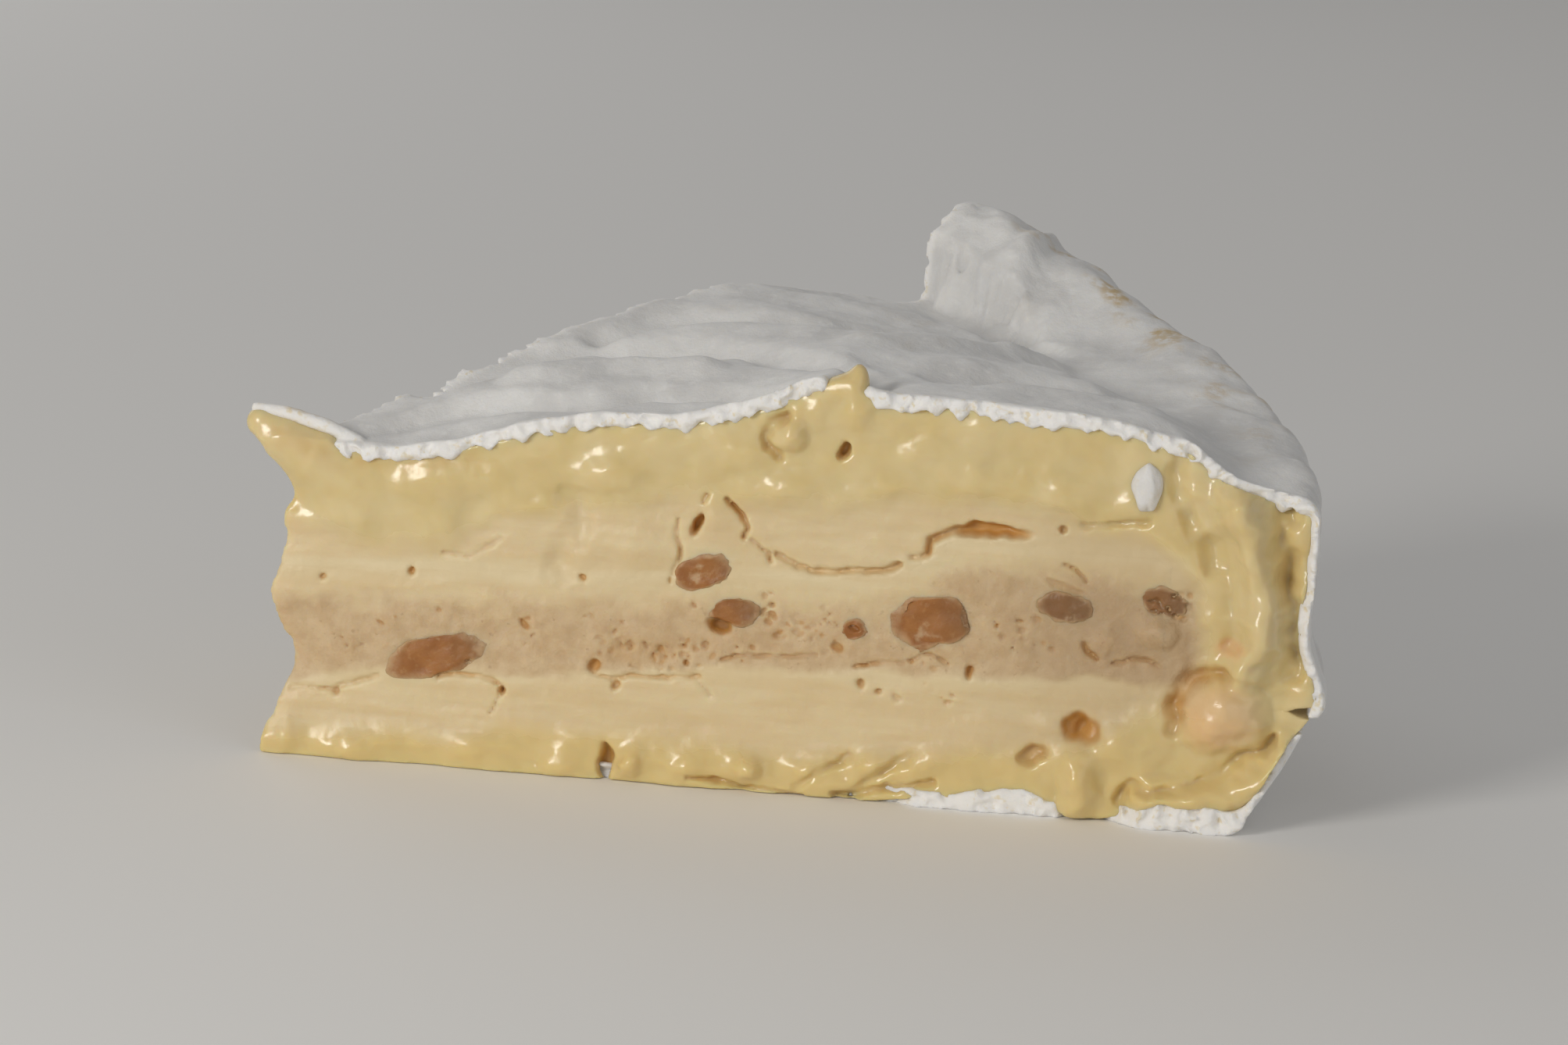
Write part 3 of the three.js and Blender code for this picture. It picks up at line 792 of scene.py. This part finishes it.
def upper_paste_field(block):
    bare = ramp(RIND_START + 0.5, RIND_START - 0.5, block.r)
    skin_depth = deep((RIND - RIND_LAP) * (1 - bare) + 0.2 * bare)
    field = np.minimum(block.cover() + skin_depth, block.sunk(RIND_MOST - 0.2))
    field = larger(block.heel() + HEEL_RIND - RIND_LAP, field, 2)
    field = larger(field, block.layer(SEAM, SEAM_SEED) - OVERLAP + gape(block) - block.z, 0.2)
    field = larger(field, -(filling_room(block) + OVERLAP), 0.2)
    field = larger(field, cut_behind(block, relief_only), SHARP)
    field = smaller(field, limb(block, HORN, HORN_RADII), 2.0)
    for at, radii in WELLS:
        field = smaller(field, ball(block, at, radii), 1.0)
    return field


# How low the paste hangs over the lower rind along the front cut: (distance from the tip, height)
DRIPS = [(-2, 0), (66, 0.1), (69, 0.7), (74, 1.6), (80, 2.6), (82.8, 2.4), (84.6, 0.3), (90.4, 0.1),
         (92.4, 2), (96, 2.6), (104, 2.4), (108, 1.8), (112, 1.6)]


def hang_at(side, u):
    """How far above the base the paste ends along a cut."""
    if side == "front":
        hang = along(DRIPS, u)
        return hang + 0.55 * ramp(0, 1, hang) * noise((u, 0), 2.2, 181)
    return 0.9 + 1.6 * noise((u, 0), 7, 182)


def hang_over(block):
    """How far above the base the paste ends at the nearer cut, over (x, y)."""
    flat_x, flat_y = block.place
    back = ramp(1, 3, flat_y - 0.3 * flat_x)
    return blend(hang_at("front", flat_x), hang_at("back", block.u_back), back).clip(0.02, 3)


def lower_paste_field(block):
    lip = ramp(LIP + 0.3, LIP - 0.3, block.behind())
    floor = deep(blend(RIND - RIND_LAP, hang_over(block), lip)) - block.z
    field = larger(block.heel() + HEEL_RIND - RIND_LAP, floor, 0.3)
    field = larger(field, block.z - block.layer(SEAM, SEAM_SEED) - OVERLAP + gape(block), 0.2)
    return larger(field, cut_behind(block, relief_only), SHARP)


# Nut pieces along each cut: distance from the tip, height, length, height of the slice, tilt, how grey
NUTS = {
    "front": [(18.4, 12.3, 11, 5.4, 14, 0), (46.4, 23.2, 6.6, 4.2, 12, 0), (49.2, 19.2, 5.6, 3.6, 6, 0.1),
              (62.3, 18.4, 3.6, 2.2, 10, 0), (70, 19.7, 11.8, 8.2, 10, 0), (84.3, 22.4, 5.6, 3.6, -4, 0.8),
              (94.4, 23.7, 5.4, 3.2, -14, 0.7)],
    "back": [(21, 15.4, 6.4, 4.4, 14, 0), (37, 18, 8.4, 5.2, -10, 0.1), (51, 16.8, 5, 3.8, 24, 0.6),
             (62, 19.8, 7.2, 4.6, 4, 0), (75, 21, 5.4, 4.4, -16, 0.3), (87, 22, 6.8, 4.2, 10, 0)],
}
NUT_DEPTH = 0.62  # how far a nut reaches in, as a share of its length
NUT_PROUD = 0.14  # how far the middle of a nut's slice stands out of the cut face
NUT_SUNK = 0.3  # how far its rim lies under the cut face


def round_mesh(divisions):
    """A unit ball's points and three-sided faces."""
    ball_mesh = bmesh.new()
    bmesh.ops.create_icosphere(ball_mesh, subdivisions=divisions, radius=1)
    points = np.array([v.co for v in ball_mesh.verts])
    faces = np.array([[v.index for v in f.verts] for f in ball_mesh.faces])
    ball_mesh.free()
    return points, faces


def set_in(side, u, depth, z):
    """Points at a distance along a cut face and a depth behind it."""
    if side == "front":
        return np.stack([u, depth, z], axis=-1)
    c, s = math.cos(ANGLE), math.sin(ANGLE)
    return np.stack([u * c + depth * s, u * s - depth * c, z], axis=-1)


def add_nut(side, number, nut, material):
    """A nut piece, sliced near the cut face, with a chipped outline."""
    u0, z0, long, high, tilt, grey = nut
    seed = 400 + 20 * number + SEEDS[side]
    points, faces = round_mesh(5)
    boxy = np.sign(points) * np.abs(points) ** 0.8
    chips = 1 + 0.42 * noise(points.T, 1.1, seed) + 0.14 * cloud(points.T, 0.45, 2, seed + 1)
    across, inward, up = (boxy * chips[:, None]).T * np.array([[long / 2], [long * NUT_DEPTH], [high / 2]])
    turn = math.radians(tilt)
    u = u0 + across * math.cos(turn) - up * math.sin(turn)
    z = z0 + across * math.sin(turn) + up * math.cos(turn)
    face = relief(side, u, z)[0]
    rough = 0.08 * noise((u, z), 2.2, seed + 3) + 0.04 * noise((u, z), 0.7, seed + 4)
    share = np.hypot(boxy[:, 0], boxy[:, 2])
    proud = blend(NUT_PROUD, -NUT_SUNK, ramp(0.8, 1.02, share))
    depth = larger(inward, -(face + proud + rough), 0.1)
    points = set_in(side, u, depth, z)
    greyer = grey + 0.55 * ramp(-0.05, 0.4, across / long)
    masks = {"rim": ramp(0.64, 0.94, share), "grey": np.clip(greyer, 0, 1)}
    name = f"nut_{side}_{number}"
    piece = mesh_piece(f"{name}_piece", points, outward(points, faces))
    dress(piece, masks, name, "nut", material)


def add_crumb(material):
    """The crumb of rind on the front cut: a small pointed flake, half sunk in the paste."""
    low, high = (np.array(corner) * 1000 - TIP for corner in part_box("rind_crumb"))
    points, faces = round_mesh(5)
    chips = 1 + 0.3 * noise(points.T, 1.1, 501) + 0.08 * noise(points.T, 0.5, 502)
    narrow = 1 - 0.5 * ramp(0, 1.1, points[:, 2:3]) - 0.25 * ramp(0, -1.1, points[:, 2:3])
    middle, half = (low + high) / 2, (high - low) / 2
    points = points * chips[:, None] * (half * [1.1, 1.1, 1.25])
    points[:, :1] *= narrow
    points = points + middle - [0, 0.5, 0]
    masks = {"cut": np.full(len(points), 0.3), "tan": np.zeros(len(points))}
    piece = mesh_piece("crumb", points, outward(points, faces))
    dress(piece, masks, "rind_crumb", "rind", material)


# ---- Materials ----

class Nodes:
    """A material's nodes, made and linked in one call each."""

    def __init__(self, name):
        self.material = bpy.data.materials.new(name)
        self.material.use_nodes = True
        self.tree = self.material.node_tree
        self.shader = self.tree.nodes["Principled BSDF"]
        self.place = self.make("ShaderNodeTexCoord").outputs["Object"]

    def make(self, kind, values=None, **settings):
        made = self.tree.nodes.new(kind)
        for key, value in settings.items():
            setattr(made, key, value)
        for key, value in (values or {}).items():
            self.put(made.inputs[key], value)
        return made

    def put(self, socket, value):
        if isinstance(value, bpy.types.NodeSocket):
            self.tree.links.new(value, socket)
        else:
            socket.default_value = value

    def mask(self, name):
        return self.make("ShaderNodeAttribute", attribute_name=name).outputs["Fac"]

    def along(self, axis):
        """A place's coordinate in the frame, in metres."""
        return self.make("ShaderNodeSeparateXYZ", {"Vector": self.place}).outputs[axis]

    def noise(self, size_mm, detail=2.0, rough=0.55, stretch=None):
        """Noise with features of a size, in 0 to 1."""
        place = self.place
        if stretch:
            place = self.make("ShaderNodeMapping", {"Vector": place, "Scale": stretch}).outputs[0]
        values = {"Vector": place, "Scale": 1000 / size_mm, "Detail": detail, "Roughness": rough}
        return self.make("ShaderNodeTexNoise", values).outputs["Fac"]

    def spread(self, value, low, high, to_low=0.0, to_high=1.0):
        values = {"Value": value, "From Min": low, "From Max": high, "To Min": to_low, "To Max": to_high}
        made = self.make("ShaderNodeMapRange", values, clamp=True, interpolation_type="SMOOTHSTEP")
        return made.outputs[0]

    def times(self, a, b):
        return self.make("ShaderNodeMath", {0: a, 1: b}, operation="MULTIPLY").outputs[0]

    def mix(self, share, a, b):
        made = self.make("ShaderNodeMix", data_type="RGBA")
        for index, value in ((0, share), (6, a), (7, b)):
            self.put(made.inputs[index], value)
        return made.outputs[2]

    def mix_number(self, share, a, b):
        return self.make("ShaderNodeMix", {0: share, 2: a, 3: b}).outputs[0]

    def bump(self, height, distance_mm, strength=1.0, under=None):
        values = {"Height": height, "Distance": distance_mm / 1000, "Strength": strength}
        made = self.make("ShaderNodeBump", values)
        if under:
            self.put(made.inputs["Normal"], under)
        return made.outputs[0]

    def finish(self, values):
        for key, value in values.items():
            self.put(self.shader.inputs[key], value)
        return self.material


CREAM = (0.76, 0.62, 0.335, 1)
CREAM_DEEP = (0.73, 0.575, 0.275, 1)
CREAM_LOW = (0.755, 0.585, 0.265, 1)
CORE = (0.75, 0.59, 0.34, 1)
CORE_PALE = (0.78, 0.64, 0.39, 1)
CORE_DIM = (0.62, 0.475, 0.27, 1)
FILLING = (0.61, 0.435, 0.245, 1)
FILLING_PALE = (0.68, 0.51, 0.305, 1)
FILLING_DIM = (0.47, 0.325, 0.185, 1)
# The first colour below is the paste's amber tint in pits and cracks, which also paints shade there. The
# second is painted shade, a darker brown for their deepest parts.
AMBER_TINT_AND_SHADE = (0.58, 0.29, 0.065, 1)
CRACK_SHADE = (0.38, 0.18, 0.06, 1)
SPECK = (0.42, 0.26, 0.14, 1)
PEACHY = (0.82, 0.54, 0.28, 1)
WHITE = (0.82, 0.81, 0.79, 1)
WHITE_GREY = (0.69, 0.68, 0.665, 1)
WHITE_BRIGHT = (0.91, 0.9, 0.88, 1)
TAN = (0.58, 0.42, 0.2, 1)
CRUMB = (0.94, 0.92, 0.89, 1)
CRUMB_DEEP = (0.84, 0.74, 0.55, 1)
NUT = (0.4, 0.165, 0.04, 1)
NUT_DEEP = (0.33, 0.125, 0.028, 1)
NUT_PALE = (0.5, 0.27, 0.1, 1)
NUT_GREY = (0.24, 0.135, 0.06, 1)


def cheese_material(name):
    """Paste and filling: the masks say which shows where, so that neighbouring pieces match."""
    m = Nodes(name)
    creamy, filling, amber_and_shade = m.mask("creamy"), m.mask("filling"), m.mask("amber_and_shade")
    cloudy = m.spread(m.noise(7, 3), 0.35, 0.65)
    streaks = m.spread(m.noise(5, 3, stretch=(0.35, 0.35, 2.2)), 0.35, 0.68)
    core = m.mix(streaks, CORE, CORE_PALE)
    core = m.mix(m.spread(m.along(0), 0.018, 0.04, 0, 0.6), core, CORE_DIM)
    cream = m.mix(cloudy, CREAM, CREAM_DEEP)
    spread = m.mix(m.spread(m.noise(2.2, 4), 0.35, 0.65), FILLING, FILLING_PALE)
    specks = m.spread(m.noise(0.9, 2), 0.66, 0.74)
    spread = m.mix(m.spread(m.along(0), 0.018, 0.036, 0, 0.65), spread, FILLING_DIM)
    spread = m.mix(m.times(specks, 0.45), spread, SPECK)
    cream = m.mix(m.spread(m.along(2), 0.012, 0.004, 0, 0.85), cream, CREAM_LOW)
    colour = m.mix(creamy, m.mix(filling, core, spread), cream)
    colour = m.mix(m.times(m.mask("peach"), 0.75), colour, PEACHY)
    # Amber tint in pits and cracks, which also paints shade in them, then a darker painted shade in their
    # deepest parts.
    colour = m.mix(m.spread(amber_and_shade, 0.0, 0.9), colour, AMBER_TINT_AND_SHADE)
    colour = m.mix(m.spread(amber_and_shade, 0.8, 1.0, 0, 0.7), colour, CRACK_SHADE)
    grain = m.times(m.noise(0.7, 3), m.mix_number(creamy, m.mix_number(filling, 0.35, 1.0), 0.08))
    soft = m.bump(m.noise(2.4, 2), 0.18, 0.5)
    rough = m.mix_number(creamy, m.mix_number(filling, 0.42, 0.55), 0.2)
    return m.finish({
        "Base Color": colour,
        "Roughness": m.mix_number(m.spread(m.noise(3, 3), 0.35, 0.65), rough, m.times(rough, 1.25)),
        "Specular IOR Level": 0.5,
        "Subsurface Weight": m.times(m.mask("whole"), 0.6),
        "Subsurface Radius": (1.0, 0.66, 0.32),
        "Subsurface Scale": 0.0017,
        "Normal": m.bump(grain, 0.22, 0.7, soft),
    })


def rind_material():
    """The white bloom: a soft felt with faint grey patches, tan where rubbed, chalky where cut."""
    m = Nodes("rind")
    tan, cut = m.mask("tan"), m.mask("cut")
    white = m.mix(m.spread(m.noise(9, 4), 0.35, 0.68), WHITE, WHITE_GREY)
    white = m.mix(m.spread(m.noise(1.4, 3), 0.5, 0.75, 0, 0.35), white, WHITE_BRIGHT)
    mottled = m.times(tan, m.spread(m.noise(1.1, 4), 0.3, 0.6))
    colour = m.mix(mottled, white, TAN)
    crumb = m.mix(m.spread(m.noise(1.0, 2), 0.27, 0.43), CRUMB_DEEP, CRUMB)
    colour = m.mix(m.times(cut, 0.85), colour, crumb)
    felt = m.bump(m.noise(0.45, 4, 0.7), 0.12, 0.8)
    crepe = m.bump(m.noise(2.6, 3), 0.3, 0.6, felt)
    return m.finish({
        "Base Color": colour,
        "Roughness": 0.88,
        "Specular IOR Level": 0.3,
        "Subsurface Weight": 0.3,
        "Subsurface Radius": (1.0, 0.85, 0.65),
        "Subsurface Scale": 0.0016,
        "Sheen Weight": 0.22,
        "Sheen Roughness": 0.45,
        "Normal": crepe,
    })


def nut_material():
    """Soaked nut: orange brown flesh that the filling is smeared over at the edges."""
    m = Nodes("nut")
    rim, grey = m.mask("rim"), m.mask("grey")
    flesh = m.mix(m.spread(m.noise(2.6, 3), 0.35, 0.65), NUT, NUT_DEEP)
    flesh = m.mix(m.spread(m.noise(0.8, 3), 0.55, 0.78, 0, 0.5), flesh, NUT_PALE)
    flesh = m.mix(m.times(grey, 0.85), flesh, NUT_GREY)
    smear = m.spread(m.noise(2.2, 4), 0.58, 0.72, 0, 0.55)
    colour = m.mix(smear, flesh, FILLING)
    colour = m.mix(m.times(rim, m.spread(m.noise(1.2, 3), 0.3, 0.6, 0.25, 0.8)), colour, FILLING)
    soft = m.bump(m.noise(1.2, 3), 0.2, 0.6)
    return m.finish({
        "Base Color": colour,
        "Roughness": m.spread(m.noise(1.5, 3), 0.3, 0.7, 0.35, 0.6),
        "Subsurface Weight": 0.35,
        "Subsurface Radius": (1.0, 0.45, 0.2),
        "Subsurface Scale": 0.0012,
        "Normal": m.bump(m.noise(0.35, 3), 0.1, 0.5, soft),
    })


# ---- The object ----

def add_layer(name, low, high, field_of, hidden_of, masks_of, slot):
    """A piece meshed from its field, which lies in the block from low to high."""
    block = Block(low, high, RIND_VOXEL if slot == "rind" else CHEESE_VOXEL)
    points, faces = skin(block, field_of(block))
    piece = mesh_piece(f"{name}_skin", points, outward(points, faces))
    thin_out(piece, hidden_of(points))
    dress(piece, masks_of(points_of(piece)), name, slot, MATERIALS[slot])


MATERIALS = {"rind": rind_material(), "paste": cheese_material("paste"),
             "filling": cheese_material("filling"), "nut": nut_material()}
CHEESE = (cheese_hidden, cheese_masks)
BLOOM = (rind_hidden, rind_masks)
add_layer("upper_rind", (-6, -4, 11), (117, 91, 58), upper_rind_field, *BLOOM, "rind")
add_layer("upper_paste", (-6, -5, 9), (116, 91, 57), upper_paste_field, *CHEESE, "paste")
add_layer("filling", (-6, -5, 5), (100, 80, 32), filling_field, *CHEESE, "filling")
add_layer("lower_paste", (-6, -5, -1), (116, 91, 18), lower_paste_field, *CHEESE, "paste")
add_layer("lower_rind", (-6, -4, -1), (117, 91, 15), lower_rind_field, *BLOOM, "rind")
for side, nuts in NUTS.items():
    for number, nut in enumerate(nuts, 1):
        add_nut(side, number, nut, MATERIALS["nut"])
add_crumb(MATERIALS["rind"])


# ---- Floor, light and camera ----

def add_floor():
    mesh = bpy.data.meshes.new("floor")
    reach = 3.0
    corners = [(-reach, -reach, 0), (reach, -reach, 0), (reach, reach, 0), (-reach, reach, 0)]
    mesh.from_pydata(corners, [], [(0, 1, 2, 3)])
    m = Nodes("floor")
    mesh.materials.append(m.finish({"Base Color": (0.95, 0.94, 0.92, 1), "Roughness": 0.7}))
    add_object("floor", mesh)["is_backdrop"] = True


def outwards(azimuth, elevation):
    """A direction away from the object. Azimuth 0 is in front of it and 90 on its right."""
    a, e = math.radians(azimuth), math.radians(elevation)
    return Vector((math.sin(a) * math.cos(e), -math.cos(a) * math.cos(e), math.sin(e)))


def add_lamp(name, azimuth, elevation, distance, size, watts, colour):
    """A square soft light, aimed at the middle of the object."""
    away = outwards(azimuth, elevation)
    lamp = bpy.data.lights.new(name, "AREA")
    lamp.size = size
    lamp.energy = watts
    lamp.color = colour
    holder = add_object(name, lamp)
    holder.location = Vector((0, 0, 0.02)) + distance * away
    holder.rotation_euler = away.to_track_quat("Z", "Y").to_euler()


def add_world():
    world = bpy.data.worlds.new("studio")
    world.use_nodes = True
    sky = world.node_tree.nodes["Background"]
    sky.inputs["Color"].default_value = (1, 0.99, 0.98, 1)
    sky.inputs["Strength"].default_value = 0.27
    bpy.context.scene.world = world


def add_camera(azimuth, elevation, roll, distance, target, width):
    """A camera aimed at a target, whose picture is width metres wide there."""
    away = outwards(azimuth, elevation)
    data = bpy.data.cameras.new("camera")
    data.sensor_width = 36
    data.lens = 36 * distance / width
    data.clip_start = 0.01
    camera = add_object("camera", data)
    camera.location = Vector(target) + distance * away
    turned = away.to_track_quat("Z", "Y").to_matrix()
    side, up = turned.col[0].copy(), turned.col[1].copy()
    c, s = math.cos(math.radians(roll)), math.sin(math.radians(roll))
    turned.col[0], turned.col[1] = c * side + s * up, c * up - s * side
    camera.rotation_euler = turned.to_euler()
    bpy.context.scene.camera = camera


add_floor()
add_world()
# Lamps: name, azimuth, elevation, distance and size in metres, watts, colour
LAMPS = [("key", -30, 18, 0.8, 0.22, 2.55, (1, 0.97, 0.92)),
         ("fill", 50, 16, 0.9, 0.6, 0.75, (0.98, 0.99, 1)),
         ("back", 222, 24, 0.9, 0.6, 0.8, (1, 0.99, 0.97))]
for lamp in LAMPS:
    add_lamp(*lamp)
add_camera(azimuth=7, elevation=11.5, roll=3, distance=0.66, target=(-0.0038, 0, 0.0207), width=0.1756)
bpy.context.scene.view_settings.view_transform = "Standard"

boxes = {"cad": cad_box, "visual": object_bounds()}
{key: [list(corner) for corner in box] for key, box in boxes.items()}
